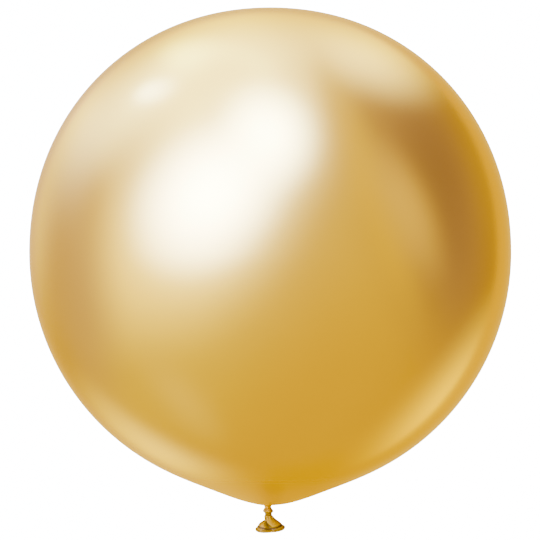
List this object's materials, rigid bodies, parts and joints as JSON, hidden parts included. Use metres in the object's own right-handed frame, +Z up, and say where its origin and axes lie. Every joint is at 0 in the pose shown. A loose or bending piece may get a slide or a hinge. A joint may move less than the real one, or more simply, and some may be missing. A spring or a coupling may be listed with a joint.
{
  "type": "giant chrome latex balloon",
  "caption": "Giant round latex balloon in mirror-like gold, inflated and tied, with a knotted neck and a rolled lip, lying on its side.",
  "frame": {"origin": "centre of the small flat spot that the balloon lies on, straight below the widest section of the body", "axes": "+Z up; +Y along the balloon's axis from the knot to the crown; +X to the right when it is seen from above with the knot towards the viewer"},
  "size_m": [0.6, 0.654, 0.5979],
  "materials": {
    "chrome_latex": "gold chrome latex: metallic, mirror-like with a soft haze, deeper in colour at the unstretched neck and tail"
  },
  "bodies": {
    "root": {"latex_balloon": "chrome_latex"}
  },
  "joints": []
}
